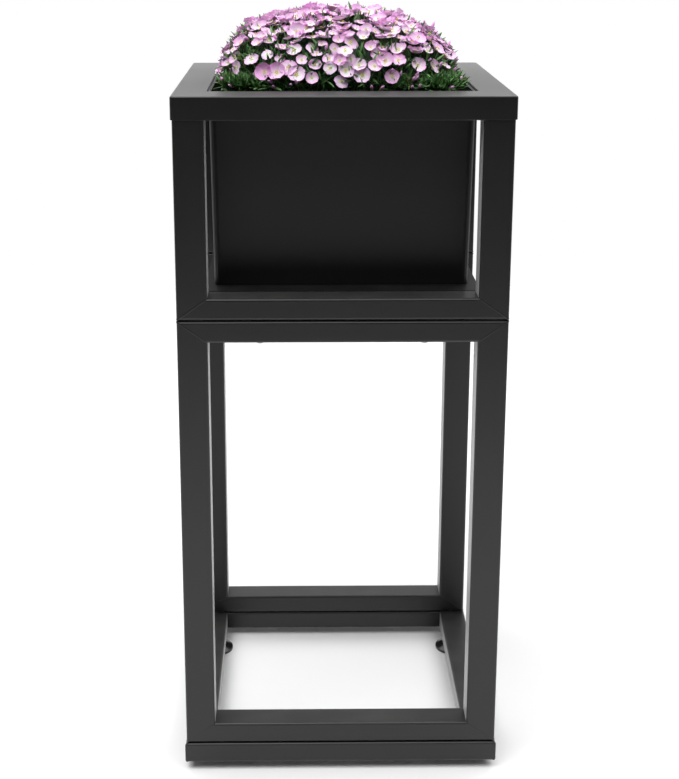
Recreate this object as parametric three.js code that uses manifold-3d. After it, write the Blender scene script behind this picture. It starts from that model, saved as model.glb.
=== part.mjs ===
// Raised planter on legs: a tube stand on a base ring with levelling feet, an open cage with a
// flanged cap on top of it, and a lift-out sheet liner that holds a planted root ball.
// Units are millimetres. +X is to the right, the front faces -Y, and +Z is up from the floor.
import * as THREE from "three";
import { mergeVertices } from "three/addons/utils/BufferGeometryUtils.js";
import Module from "manifold-3d";

const wasm = await Module();
wasm.setup();

// Overall sizes.
const frameWidth = 300; // over the posts, side to side
const frameDepth = 300; // over the posts, front to back
const standOpening = 385; // clear height between the stand's rails
const cageOpening = 160; // clear height between the cage's rails

// Tube.
const postFace = 28; // width of a post, side to side
const tubeDepth = 28; // depth of every tube of a loop, front to back
const railHeight = 20;
const tubeWall = 1.5;
const tubeRadius = 2.2; // outer corner radius of a tube
const cornerSteps = 2; // half the facets of a rounded corner

// Clearances.
const touch = 0.3; // between two faces that meet
const mitreCut = 0.25; // taken off each end of a mitred tube
const screwSlack = 0.35; // radial, around a screw or a stud
const insertSlack = 0.3; // radial, around a threaded insert

// Base ring.
const ringOverhang = 1; // how far the ring stands proud of the posts, all round
const ringFace = 28; // width of a ring rail, in plan
const ringHeight = 20;

// Cap: one folded sheet with an opening and four skirts.
const capSheet = 1;
const capSkirt = 20.6; // depth of the skirt, over all
const capSideSetback = 0.6; // opening's side edges outside the side rails' inner faces
const capFrontLap = 9.7; // flange past the inner faces of the front and back rails
const capCornerRadius = 2.4;

// Bottom plate of the cage.
const plateSheet = 2;
const plateOverhang = 5; // plate past the posts' inner faces, at each side
const plateLip = 12; // depth of the folded lips at the sides
const plateHole = 16; // drain hole diameter
const drainSpread = 55; // drain holes from the centre, along X and Y

// Liner: a sheet box that tapers towards its base.
const linerSheet = 1;
const linerGap = 2.6; // between the liner's rim and the cap's opening, all round
const linerSideTaper = 2; // how much each side leans in over the liner's height
const linerFrontTaper = 11; // the same for the front and the back
const linerDrop = 3; // rim below the cap's top face
const linerCornerRadius = 6;
const linerHole = 10; // drain hole diameter

// Root ball and planting.
const soilDrop = 26; // soil below the liner's rim
const soilGap = 1.2; // between the soil and the liner's walls
const plantRise = 68; // top of the plants above the cap
const plantGap = 2; // between the plants and the liner's walls

// Levelling feet.
const footPadRadius = 18.5;
const footPadHeight = 7;
const footPadEdge = 2.6; // height of the pad's straight rim
const footStudRadius = 4;
const footStudLength = 16; // above the pad
const footStudSeat = 3; // how deep the stud sits in the pad
const footInset = 17; // foot axis from the ring's outer face
const footFromEnd = 59; // foot axis from the ring's front or back face

// Screws and threaded inserts.
const insertFlange = 0.6;
const insertLip = 2; // flange beyond the insert's body, radial
const insertWall = 1.4;
const screwInsertLength = 11;
const footInsertLength = 13;
const screwRadius = 3;
const screwHeadRadius = 5.25;
const screwHeadHeight = 3.3;
const screwSocket = 4; // across the socket's flats
const screwSocketDepth = 2;
const screwSpread = 75; // screws from the middle of a loop
const fastenerSides = 12; // facets of a small round piece
const padSides = 28; // facets of a foot pad

// Derived places.
const stackGap = insertFlange + 2 * touch; // between two stacked frames
const ringBottom = footPadHeight + stackGap;
const ringTop = ringBottom + ringHeight;
const standBottom = ringTop + stackGap;
const standHeight = standOpening + 2 * railHeight;
const cageBottom = standBottom + standHeight + stackGap;
const cageHeight = cageOpening + 2 * railHeight;
const plateTop = cageBottom + railHeight;
const capTop = cageBottom + cageHeight + touch + capSheet;
const ringWidth = frameWidth + 2 * ringOverhang;
const ringDepth = frameDepth + 2 * ringOverhang;
const capWidth = frameWidth + 2 * (touch + capSheet);
const capDepth = frameDepth + 2 * (touch + capSheet);
const mouthWidth = frameWidth - 2 * (postFace - capSideSetback);
const mouthDepth = frameDepth - 2 * (tubeDepth + capFrontLap);
const loopY = (frameDepth - tubeDepth) / 2; // centre plane of a loop

const finishes = {
  frame: { color: 0x2c2c2d, roughness: 0.45, metalness: 0.25 },
  liner: { color: 0x161617, roughness: 0.55, metalness: 0.2 },
  steel: { color: 0x8d8f92, roughness: 0.35, metalness: 0.9 },
  pad: { color: 0x141415, roughness: 0.3, metalness: 0 },
  soil: { color: 0x2b2119, roughness: 0.95, metalness: 0 },
  plants: { color: 0x6f8a4c, roughness: 0.8, metalness: 0 },
};

const planter = new THREE.Group();

function piece(name, geometry, finish, parent = planter) {
  const mesh = new THREE.Mesh(geometry, new THREE.MeshStandardMaterial(finishes[finish]));
  mesh.name = name;
  parent.add(mesh);
  return mesh;
}

function solid(geometry) {
  const bare = new THREE.BufferGeometry();
  const source = geometry.index ? geometry.toNonIndexed() : geometry;
  bare.setAttribute("position", source.getAttribute("position"));
  const merged = mergeVertices(bare, 1e-4);
  return new wasm.Manifold(
    new wasm.Mesh({
      numProp: 3,
      vertProperties: new Float32Array(merged.attributes.position.array),
      triVerts: new Uint32Array(merged.index.array),
    }),
  );
}

function geometryOf(body) {
  const mesh = body.getMesh();
  const geometry = new THREE.BufferGeometry();
  geometry.setAttribute("position", new THREE.BufferAttribute(mesh.vertProperties, 3));
  geometry.setIndex(new THREE.BufferAttribute(mesh.triVerts, 1));
  return geometry;
}

function subtract(geometry, cuts) {
  const body = cuts.reduce((left, cut) => left.subtract(solid(cut)), solid(geometry));
  return geometryOf(body);
}

// A closed path round a rectangle with rounded corners, centred on the origin.
function roundedRectangle(path, width, depth, radius) {
  const x = width / 2 - radius;
  const y = depth / 2 - radius;
  const quarter = Math.PI / 2;
  path.absarc(x, y, radius, 0, quarter);
  path.absarc(-x, y, radius, quarter, 2 * quarter);
  path.absarc(-x, -y, radius, 2 * quarter, 3 * quarter);
  path.absarc(x, -y, radius, 3 * quarter, 4 * quarter);
  path.closePath();
  return path;
}

function block(width, depth, height, radius) {
  const outline = roundedRectangle(new THREE.Shape(), width, depth, radius);
  return new THREE.ExtrudeGeometry(outline, {
    depth: height,
    bevelEnabled: false,
    curveSegments: cornerSteps,
  });
}

// A block whose plan shrinks linearly from its top to its base.
function taperedBlock(top, base, height, radius) {
  const geometry = block(top.width, top.depth, height, radius);
  const points = geometry.getAttribute("position");
  for (let i = 0; i < points.count; i += 1) {
    const share = 1 - points.getZ(i) / height;
    points.setX(i, points.getX(i) * (1 + share * (base.width / top.width - 1)));
    points.setY(i, points.getY(i) * (1 + share * (base.depth / top.depth - 1)));
  }
  return geometry;
}

// A cylinder that runs from a start point along one axis.
function rod(radius, length, axis, start) {
  const geometry = new THREE.CylinderGeometry(radius, radius, length, fastenerSides);
  geometry.translate(0, length / 2, 0);
  if (axis === "x") geometry.rotateZ(-Math.PI / 2);
  if (axis === "z") geometry.rotateX(Math.PI / 2);
  return geometry.translate(...start);
}

// A tube of rectangular section along local +Z. Its outer side is local -X, and each end is cut
// back by `mitre` from the outer side to the inner one.
function tube({ across, deep, length, mitre, bores = [] }) {
  const outline = roundedRectangle(new THREE.Shape(), across, deep, tubeRadius);
  const innerX = across / 2 - tubeWall;
  const innerY = deep / 2 - tubeWall;
  const inside = new THREE.Path([
    new THREE.Vector2(innerX, innerY),
    new THREE.Vector2(-innerX, innerY),
    new THREE.Vector2(-innerX, -innerY),
    new THREE.Vector2(innerX, -innerY),
  ]);
  outline.holes.push(inside);
  const geometry = new THREE.ExtrudeGeometry(outline, {
    depth: length,
    bevelEnabled: false,
    curveSegments: cornerSteps,
  });
  const points = geometry.getAttribute("position");
  const cut = mitre > 0 ? mitreCut : touch;
  for (let i = 0; i < points.count; i += 1) {
    const recess = cut + (mitre * (points.getX(i) + across / 2)) / across;
    points.setZ(i, points.getZ(i) < length / 2 ? recess : length - recess);
  }
  return bores.length ? subtract(geometry, bores) : geometry;
}

// Turns a tube so that its outer side faces `outward` and its length runs along `along`.
function place(mesh, position, outward, along) {
  const x = new THREE.Vector3(...outward).negate();
  const z = new THREE.Vector3(...along);
  const y = new THREE.Vector3().crossVectors(z, x);
  mesh.quaternion.setFromRotationMatrix(new THREE.Matrix4().makeBasis(x, y, z));
  mesh.position.set(...position);
}

const screwHole = screwRadius + screwSlack;
const screwInsertRadius = screwRadius + screwSlack + insertWall;
const footInsertRadius = footStudRadius + screwSlack + insertWall;
const screwStations = [-screwSpread, screwSpread];

// Bores through a horizontal rail at the screws: right through for the screws, or through the
// outer wall only for their inserts.
function railBores(use) {
  const through = use === "screw";
  const radius = through ? screwHole : screwInsertRadius + insertSlack;
  const reach = through ? railHeight + 2 : tubeWall + 2;
  return screwStations.map((station) =>
    rod(radius, reach, "x", [-railHeight / 2 - 1, 0, frameWidth / 2 + station]),
  );
}

// A rectangular loop of four mitred tubes, standing in a plane of constant Y.
function loop(prefix, y, bottom, height, topBores, bottomBores) {
  const half = frameWidth / 2;
  const rail = { across: railHeight, deep: tubeDepth, length: frameWidth, mitre: postFace };
  const post = { across: postFace, deep: tubeDepth, length: height, mitre: railHeight };
  const up = [0, 0, 1];
  const right = [1, 0, 0];
  const low = bottom + railHeight / 2;
  const high = bottom + height - railHeight / 2;
  const inset = half - postFace / 2;

  place(piece(`${prefix}_post_left`, tube(post), "frame"), [-inset, y, bottom], [-1, 0, 0], up);
  place(piece(`${prefix}_post_right`, tube(post), "frame"), [inset, y, bottom], [1, 0, 0], up);
  const topRail = piece(`${prefix}_top_rail`, tube({ ...rail, bores: topBores }), "frame");
  place(topRail, [-half, y, high], [0, 0, 1], right);
  const bottomRail = piece(`${prefix}_bottom_rail`, tube({ ...rail, bores: bottomBores }), "frame");
  place(bottomRail, [-half, y, low], [0, 0, -1], right);
}

const loopSides = [
  { name: "front", y: -loopY },
  { name: "back", y: loopY },
];
const hands = [
  { name: "left", sign: -1 },
  { name: "right", sign: 1 },
];

function baseRing() {
  const below = -ringHeight / 2 - 1;
  const screwLine = ringOverhang + (tubeDepth - ringFace) / 2; // under the loops' centre plane
  const screwBore = (station, length) =>
    rod(screwHole, ringHeight + 2, "y", [screwLine, below, length / 2 + station]);
  const footBore = (station, length) =>
    rod(footInsertRadius + insertSlack, tubeWall + 2, "y", [
      footInset - ringFace / 2,
      below,
      length / 2 + station,
    ]);
  const footStation = ringDepth / 2 - footFromEnd;
  const footStations = [-footStation, footStation];
  const screwed = { length: ringWidth, reach: ringDepth / 2, bore: screwBore, stations: screwStations };
  const footed = { length: ringDepth, reach: ringWidth / 2, bore: footBore, stations: footStations };
  const sides = [
    { name: "front", ...screwed },
    { name: "right", ...footed },
    { name: "back", ...screwed },
    { name: "left", ...footed },
  ];
  sides.forEach((side, turn) => {
    const quarter = new THREE.Group();
    quarter.rotation.z = (turn * Math.PI) / 2;
    planter.add(quarter);
    const rail = tube({
      across: ringFace,
      deep: ringHeight,
      length: side.length,
      mitre: ringFace,
      bores: side.stations.map((station) => side.bore(station, side.length)),
    });
    const position = [-side.length / 2, ringFace / 2 - side.reach, ringBottom + ringHeight / 2];
    place(piece(`base_ring_${side.name}`, rail, "frame", quarter), position, [0, -1, 0], [1, 0, 0]);
  });
}

// A threaded insert with its flange at the bottom, on the Z axis.
function insert(radius, length) {
  const inner = radius + screwSlack;
  const outer = inner + insertWall;
  const profile = [
    [inner, 0],
    [outer + insertLip, 0],
    [outer + insertLip, insertFlange],
    [outer, insertFlange],
    [outer, insertFlange + length],
    [inner, insertFlange + length],
    [inner, 0],
  ];
  return upright(profile);
}

// Turns a profile of [radius, height] pairs round the Z axis.
function upright(profile, sides = fastenerSides) {
  const points = profile.map(([radius, height]) => new THREE.Vector2(radius, height));
  return new THREE.LatheGeometry(points, sides).rotateX(Math.PI / 2);
}

// A button-head screw, head down: the head's underside is at z = 0 and the shank points up.
function buttonScrew(length) {
  const head = upright([
    [0, -screwHeadHeight],
    [screwHeadRadius * 0.55, -screwHeadHeight],
    [screwHeadRadius * 0.88, -screwHeadHeight * 0.62],
    [screwHeadRadius, -screwHeadHeight * 0.12],
    [screwHeadRadius, 0],
    [screwRadius, 0],
    [screwRadius, length - 1],
    [screwRadius - 1, length],
    [0, length],
  ]);
  const socketRadius = screwSocket / Math.sqrt(3);
  const socket = new THREE.CylinderGeometry(socketRadius, socketRadius, screwSocketDepth + 1, 6);
  socket.rotateX(Math.PI / 2);
  socket.translate(0, 0, (screwSocketDepth - 1) / 2 - screwHeadHeight);
  return subtract(head, [socket]);
}

// Screws and inserts that clamp the frame that starts at `seam` to the one below it.
function clampJoint(prefix, seam, clamped) {
  const insertZ = seam - touch - insertFlange;
  const headZ = seam - stackGap - clamped - touch;
  const length = insertZ + insertFlange + screwInsertLength - headZ;
  for (const side of loopSides) {
    for (const hand of hands) {
      const spot = [hand.sign * screwSpread, side.y];
      const name = `${side.name}_${hand.name}`;
      piece(`${prefix}_insert_${name}`, insert(screwRadius, screwInsertLength), "steel")
        .position.set(...spot, insertZ);
      piece(`${prefix}_screw_${name}`, buttonScrew(length), "steel").position.set(...spot, headZ);
    }
  }
}

function footPad() {
  const neck = footStudRadius + 4;
  const socket = footStudRadius + touch;
  const seat = footPadHeight - footStudSeat - touch;
  const profile = [
    [0, 0],
    [footPadRadius - 0.8, 0],
    [footPadRadius, 0.8],
    [footPadRadius, footPadEdge],
    [footPadRadius - 2.5, footPadEdge + 1.4],
    [neck + 1, footPadHeight - 1],
    [neck, footPadHeight],
    [socket, footPadHeight],
    [socket, seat],
    [0, seat],
  ];
  return upright(profile, padSides);
}

function levellingFeet() {
  const x = ringWidth / 2 - footInset;
  const y = ringDepth / 2 - footFromEnd;
  const studLength = footStudSeat + footStudLength;
  const stud = upright([
    [0, 0],
    [footStudRadius, 0],
    [footStudRadius, studLength - 1],
    [footStudRadius - 1, studLength],
    [0, studLength],
  ]);
  for (const [sideName, sideSign] of [["front", -1], ["back", 1]]) {
    for (const hand of hands) {
      const spot = [hand.sign * x, sideSign * y];
      const name = `${sideName}_${hand.name}`;
      piece(`foot_pad_${name}`, footPad(), "pad").position.set(...spot, 0);
      piece(`foot_stud_${name}`, stud.clone(), "steel")
        .position.set(...spot, footPadHeight - footStudSeat);
      piece(`foot_insert_${name}`, insert(footStudRadius, footInsertLength), "steel")
        .position.set(...spot, ringBottom - touch - insertFlange);
    }
  }
}

function cageSideRails() {
  const length = frameDepth - 2 * tubeDepth;
  const rail = { across: railHeight, deep: postFace, length, mitre: 0 };
  const x = (frameWidth - postFace) / 2;
  const z = cageBottom + cageHeight - railHeight / 2;
  for (const hand of hands) {
    const mesh = piece(`cage_side_rail_${hand.name}`, tube(rail), "frame");
    place(mesh, [hand.sign * x, -length / 2, z], [0, 0, 1], [0, 1, 0]);
  }
}

function cap() {
  const shell = block(capWidth, capDepth, capSkirt, capCornerRadius);
  const hollow = block(
    capWidth - 2 * capSheet,
    capDepth - 2 * capSheet,
    capSkirt,
    capCornerRadius - capSheet,
  ).translate(0, 0, -capSheet);
  const mouth = block(mouthWidth, mouthDepth, capSkirt * 2, 1);
  piece("cap", subtract(shell, [hollow, mouth]), "frame").position.z = capTop - capSkirt;
}

const drainPlaces = [
  [0, 0],
  [-drainSpread, -drainSpread],
  [drainSpread, -drainSpread],
  [-drainSpread, drainSpread],
  [drainSpread, drainSpread],
];

function bottomPlate() {
  const plateWidth = frameWidth - 2 * (postFace - plateOverhang);
  const depth = frameDepth - 2 * (tubeDepth + touch);
  const plate = new THREE.BoxGeometry(plateWidth, depth, plateLip);
  const under = new THREE.BoxGeometry(plateWidth - 2 * plateSheet, depth + 2, plateLip);
  under.translate(0, 0, -plateSheet);
  const drains = drainPlaces.map(([x, y]) => rod(plateHole / 2, plateLip, "z", [x, y, 0]));
  piece("bottom_plate", subtract(plate, [under, ...drains]), "frame")
    .position.z = plateTop - plateLip / 2;
}

const linerBottom = plateTop + touch;
const linerTop = capTop - linerDrop;
const linerRim = { width: mouthWidth - 2 * linerGap, depth: mouthDepth - 2 * linerGap };
const linerBase = {
  width: linerRim.width - 2 * linerSideTaper,
  depth: linerRim.depth - 2 * linerFrontTaper,
};

// The liner's plan at a height, shrunk by a margin on every side.
function linerPlan(z, margin) {
  const share = (linerTop - z) / (linerTop - linerBottom);
  return {
    width: linerRim.width - 2 * (linerSideTaper * share + margin),
    depth: linerRim.depth - 2 * (linerFrontTaper * share + margin),
  };
}

function liner() {
  const height = linerTop - linerBottom;
  const outer = taperedBlock(linerRim, linerBase, height, linerCornerRadius);
  const floor = linerBottom + linerSheet;
  const inner = taperedBlock(
    linerPlan(linerTop + 1, linerSheet),
    linerPlan(floor, linerSheet),
    height - linerSheet + 1,
    linerCornerRadius - linerSheet,
  ).translate(0, 0, linerSheet);
  const drains = drainPlaces.map(([x, y]) => rod(linerHole / 2, linerSheet + 2, "z", [x, y, -1]));
  piece("liner", subtract(outer, [inner, ...drains]), "liner").position.z = linerBottom;
}

const soilBottom = linerBottom + linerSheet + touch;
const soilTop = linerTop - soilDrop;

function rootBall() {
  const margin = linerSheet + soilGap;
  const geometry = taperedBlock(
    linerPlan(soilTop, margin),
    linerPlan(soilBottom, margin),
    soilTop - soilBottom,
    linerCornerRadius - margin,
  );
  piece("root_ball", geometry, "soil").position.z = soilBottom;
}

// The cushion of plants: rings of a rounded rectangle that close in towards a low dome.
function planting() {
  const base = soilTop + touch;
  const top = capTop + plantRise;
  const levels = 9;
  const around = 32;
  const margin = linerSheet + plantGap;
  const rim = linerPlan(linerTop, margin);
  const foot = linerPlan(base, margin);
  const power = 0.55; // squareness of a ring: 1 is an ellipse, 0 a rectangle
  const squared = (value) => Math.sign(value) * Math.abs(value) ** power;
  const vertices = [];
  const ring = (plan, z) => {
    for (let i = 0; i < around; i += 1) {
      const angle = (2 * Math.PI * i) / around;
      const x = (squared(Math.cos(angle)) * plan.width) / 2;
      const y = (squared(Math.sin(angle)) * plan.depth) / 2;
      vertices.push(x, y, z);
    }
  };
  ring(foot, base);
  for (let level = 0; level < levels; level += 1) {
    const lift = (level / levels) * (Math.PI / 2);
    const share = Math.cos(lift);
    const z = linerTop + (top - linerTop) * Math.sin(lift);
    ring({ width: rim.width * share, depth: rim.depth * share }, z);
  }
  const crown = vertices.length / 3;
  vertices.push(0, 0, top);
  const middle = crown + 1;
  vertices.push(0, 0, base);
  const faces = [];
  for (let i = 0; i < around; i += 1) {
    const next = (i + 1) % around;
    faces.push(middle, next, i);
    for (let level = 0; level < levels; level += 1) {
      const low = level * around;
      const high = low + around;
      faces.push(low + i, low + next, high + next);
      faces.push(low + i, high + next, high + i);
    }
    faces.push(levels * around + i, levels * around + next, crown);
  }
  const geometry = new THREE.BufferGeometry();
  geometry.setAttribute("position", new THREE.Float32BufferAttribute(vertices, 3));
  geometry.setIndex(faces);
  piece("planting", geometry, "plants");
}

levellingFeet();
baseRing();
clampJoint("ring", standBottom, ringHeight);
for (const side of loopSides) {
  loop(`stand_${side.name}`, side.y, standBottom, standHeight, railBores("screw"), railBores("insert"));
}
clampJoint("cage", cageBottom, railHeight);
for (const side of loopSides) {
  loop(`cage_${side.name}`, side.y, cageBottom, cageHeight, [], railBores("insert"));
}
cageSideRails();
cap();
bottomPlate();
liner();
rootBall();
planting();

export default planter;
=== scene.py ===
"""Raised planter on legs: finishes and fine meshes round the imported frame, laid out as an add-on.

Each operator makes one piece or one group of like pieces, and main() calls them in order.
Lengths are in metres, +X is to the right, the front faces -Y, and +Z is up from the floor.
"""

import math
import random

import bmesh
import bpy
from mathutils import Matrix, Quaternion, Vector, kdtree, noise


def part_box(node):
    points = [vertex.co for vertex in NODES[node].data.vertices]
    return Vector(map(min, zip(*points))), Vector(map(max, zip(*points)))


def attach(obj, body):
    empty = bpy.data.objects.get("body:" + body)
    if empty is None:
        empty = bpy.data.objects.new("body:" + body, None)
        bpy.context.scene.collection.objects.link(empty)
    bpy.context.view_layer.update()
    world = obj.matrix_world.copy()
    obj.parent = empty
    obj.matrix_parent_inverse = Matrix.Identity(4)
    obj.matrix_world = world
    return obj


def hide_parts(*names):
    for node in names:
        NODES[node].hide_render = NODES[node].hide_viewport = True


bl_info = {
    "name": "Raised planter",
    "version": (1, 0, 0),
    "blender": (4, 5, 0),
    "location": "View3D > Sidebar > Planter",
    "description": "A planted sheet liner in a tube cage on a tall tube stand",
    "category": "Add Mesh",
}

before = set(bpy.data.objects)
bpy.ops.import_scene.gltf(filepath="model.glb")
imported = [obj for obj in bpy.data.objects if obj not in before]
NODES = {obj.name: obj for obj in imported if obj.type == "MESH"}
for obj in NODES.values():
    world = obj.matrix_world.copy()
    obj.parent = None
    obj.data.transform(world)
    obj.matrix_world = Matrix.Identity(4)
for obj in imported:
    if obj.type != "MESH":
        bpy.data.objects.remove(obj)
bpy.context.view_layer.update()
MM = 0.001
UP = Vector((0, 0, 1))


# ---------------------------------------------------------------- sizes and colours


def length(name, description, default):
    return bpy.props.FloatProperty(
        name=name, description=description, default=default, unit="LENGTH", precision=5
    )


def angle(name, description, degrees):
    return bpy.props.FloatProperty(
        name=name, description=description, default=math.radians(degrees), subtype="ANGLE"
    )


def count(name, description, default):
    return bpy.props.IntProperty(name=name, description=description, default=default, min=0)


def share(name, description, default):
    return bpy.props.FloatProperty(
        name=name, description=description, default=default, min=0, max=1, subtype="FACTOR"
    )


def colour(name, description, default):
    return bpy.props.FloatVectorProperty(
        name=name, description=description, default=default, size=3, min=0, max=1, subtype="COLOR"
    )


class PlanterFinishes(bpy.types.PropertyGroup):
    """Colours and roughness of the planter's finishes."""

    coat: colour("Frame coat", "Charcoal powder coat on the tubes and the cap", (0.0036, 0.0036, 0.0037))
    coat_roughness: share("Frame coat roughness", "Satin of the powder coat", 0.4)
    liner: colour("Liner coat", "Black coat on the sheet liner", (0.005, 0.005, 0.0051))
    liner_roughness: share("Liner roughness", "Satin of the liner's coat", 0.5)
    zinc: colour("Zinc", "Plated screws, studs and inserts", (0.5, 0.51, 0.53))
    foot: colour("Foot plastic", "Moulded foot pads", (0.008, 0.008, 0.009))
    soil: colour("Soil", "Moist potting soil", (0.022, 0.013, 0.008))
    perlite: colour("Perlite", "Pale grains in the soil", (0.55, 0.53, 0.48))
    petal_pale: colour("Pale petal", "Petals at their lightest", (0.93, 0.68, 0.92))
    petal_deep: colour("Deep petal", "Petals at their pinkest", (0.86, 0.42, 0.8))
    petal_vein: colour("Petal vein", "Veins and petal backs", (0.56, 0.16, 0.46))
    throat: colour("Throat", "Middle of a flower", (0.82, 0.86, 0.4))
    anther: colour("Anther", "Pollen at a flower's middle", (0.72, 0.6, 0.12))
    # The dark leaf colour is also painted shade: the heart and the deeply rooted leaves take it.
    leaf_dark: colour("Dark leaf", "Leaves deep in the plants", (0.018, 0.07, 0.022))
    leaf_light: colour("Light leaf", "Young leaves", (0.2, 0.42, 0.13))
    stem: colour("Stem", "Stems and flower tubes", (0.17, 0.24, 0.07))


class PlanterSizes(bpy.types.PropertyGroup):
    """Sizes that the fine meshes add to the frame."""

    cap_bend: length("Cap bend", "Outer radius of the cap's folds", 1.3 * MM)
    cap_corner: length("Cap corner", "Plan radius of the cap's corners", 2.4 * MM)
    seam_width: length("Seam width", "Width of a ground weld at a mitre", 1.5 * MM)
    seam_height: length("Seam height", "Height of a ground weld", 0.12 * MM)
    tube_corner: length("Tube corner", "Outer corner radius of the tubes", 2.2 * MM)
    foot_flute: length("Foot flute", "Depth of the grip flutes on a foot pad", 0.35 * MM)
    bloom_radius: length("Bloom radius", "Radius of a middling open flower", 6.8 * MM)
    blooms: count("Blooms", "Most open flowers", 420)
    bloom_gap: length("Bloom gap", "Least distance between open flowers", 9.2 * MM)
    buds: count("Buds", "Closed buds", 90)
    leaf_length: length("Leaf length", "Length of a middling leaf", 11 * MM)
    leaf_width: length("Leaf width", "Width of a middling leaf", 2.0 * MM)
    leaves: count("Leaves", "Leaves of the plants", 9500)
    skirt_leaves: count("Skirt leaves", "Extra leaves tried low round the edge", 9000)
    low_leaves: count("Low leaves", "Leaves between the soil and the rim", 3200)
    sprigs: count("Sprigs", "Shoots that stand out of the plants", 26)


class PlanterStage(bpy.types.PropertyGroup):
    """Floor, light and camera."""

    floor: colour("Floor", "Pale studio floor", (0.86, 0.86, 0.86))
    backdrop: colour("Backdrop", "Plain backdrop", (1.0, 1.0, 1.0))
    front_sky: share("Front sky", "Brightness low in front of the planter", 0.012)
    back_sky: bpy.props.FloatProperty(name="Back sky", description="Brightness behind it", default=1.45)
    top_sky: bpy.props.FloatProperty(name="Top sky", description="Brightness overhead", default=2.6)
    key_power: bpy.props.FloatProperty(
        name="Key light", description="Power of the large soft light", default=22, unit="POWER"
    )
    fill_power: bpy.props.FloatProperty(
        name="Fill light", description="Power of the smaller light", default=3, unit="POWER"
    )
    camera_place: bpy.props.FloatVectorProperty(
        name="Camera", description="Place of the camera", default=(-0.041, -1.4, 0.806),
        size=3, subtype="TRANSLATION", unit="LENGTH",
    )
    camera_pitch: angle("Camera pitch", "How far the camera looks down", 14.55)
    camera_turn: angle("Camera turn", "How far the camera looks to the right", 0.66)
    camera_lens: bpy.props.FloatProperty(
        name="Lens", description="Focal length in millimetres on a 36 mm sensor", default=66.65
    )
    camera_rise: bpy.props.FloatProperty(
        name="Rise", description="Vertical lens shift, as a share of the picture", default=-0.1245
    )
    camera_side: bpy.props.FloatProperty(
        name="Side", description="Sideways lens shift, as a share of the picture", default=0.0335
    )


# ---------------------------------------------------------------- shader helpers


def socket(tree, name, kind, way, value=None):
    made = tree.interface.new_socket(name=name, in_out=way, socket_type="NodeSocket" + kind)
    if value is not None:
        made.default_value = value
    return made


def node(tree, kind, inputs=(), **settings):
    """A shader node with its settings, and inputs given as values or as sockets to link."""
    made = tree.nodes.new("ShaderNode" + kind)
    for name, value in settings.items():
        setattr(made, name, value)
    for name, value in dict(inputs).items():
        if isinstance(value, bpy.types.NodeSocket):
            tree.links.new(value, made.inputs[name])
        else:
            made.inputs[name].default_value = value
    return made


def maths(tree, operation, first, second=0.0, clamp=False):
    made = node(tree, "Math", {0: first, 1: second}, operation=operation)
    made.use_clamp = clamp
    return made.outputs[0]


def blend_colour(tree, factor, first, second, mode="MIX"):
    made = node(tree, "Mix", data_type="RGBA", blend_type=mode)
    for index, value in ((0, factor), (6, first), (7, second)):
        if isinstance(value, bpy.types.NodeSocket):
            tree.links.new(value, made.inputs[index])
        else:
            made.inputs[index].default_value = value
    return made.outputs[2]


def blend_value(tree, factor, first, second):
    """Goes from the first number to the second as the factor goes from 0 to 1."""
    kept = maths(tree, "MULTIPLY", first, maths(tree, "SUBTRACT", 1.0, factor))
    return maths(tree, "ADD", kept, maths(tree, "MULTIPLY", second, factor))


def rgba(values):
    return (*values, 1.0)


def group(name, inputs, outputs):
    """A new node group, its input node and its output node."""
    tree = bpy.data.node_groups.new(name, "ShaderNodeTree")
    for label, (kind, value) in inputs.items():
        socket(tree, label, kind, "INPUT", value)
    for label, kind in outputs.items():
        socket(tree, label, kind, "OUTPUT")
    return tree, tree.nodes.new("NodeGroupInput"), tree.nodes.new("NodeGroupOutput")


def coat_texture_group():
    """Powder coat: fine orange peel, cloudy tone, and specks of a second tone."""
    tree, enter, leave = group(
        "coat_texture",
        {"Peel Scale": ("Float", 900.0), "Cloud Scale": ("Float", 9.0), "Depth": ("Float", 0.2)},
        {"Height": "Float", "Tone": "Float"},
    )
    place = node(tree, "TexCoord").outputs["Object"]
    peel = node(
        tree, "TexNoise", {"Vector": place, "Scale": enter.outputs["Peel Scale"], "Detail": 2.0}
    ).outputs["Fac"]
    cloud = node(
        tree, "TexNoise", {"Vector": place, "Scale": enter.outputs["Cloud Scale"], "Detail": 5.0}
    ).outputs["Fac"]
    tree.links.new(maths(tree, "MULTIPLY", peel, enter.outputs["Depth"]), leave.inputs["Height"])
    grain = maths(tree, "MULTIPLY", peel, 0.35)
    tree.links.new(
        maths(tree, "ADD", grain, maths(tree, "MULTIPLY", cloud, 0.65)), leave.inputs["Tone"]
    )
    return tree


def dust_group():
    """Settled dust: strongest on faces that look up, broken by noise."""
    tree, enter, leave = group(
        "dust", {"Amount": ("Float", 0.3), "Scale": ("Float", 40.0)}, {"Mask": "Float"}
    )
    facing = node(tree, "SeparateXYZ", {0: node(tree, "NewGeometry").outputs["Normal"]}).outputs["Z"]
    place = node(tree, "TexCoord").outputs["Object"]
    spots = node(
        tree, "TexNoise", {"Vector": place, "Scale": enter.outputs["Scale"], "Detail": 8.0}
    ).outputs["Fac"]
    patchy = node(
        tree, "MapRange", {"Value": spots, "From Min": 0.35, "From Max": 0.75}
    ).outputs["Result"]
    upward = maths(tree, "MAXIMUM", facing, 0.0)
    lying = maths(tree, "MULTIPLY", maths(tree, "POWER", upward, 3.0), patchy)
    tree.links.new(
        maths(tree, "MULTIPLY", lying, enter.outputs["Amount"], clamp=True), leave.inputs["Mask"]
    )
    return tree


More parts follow.
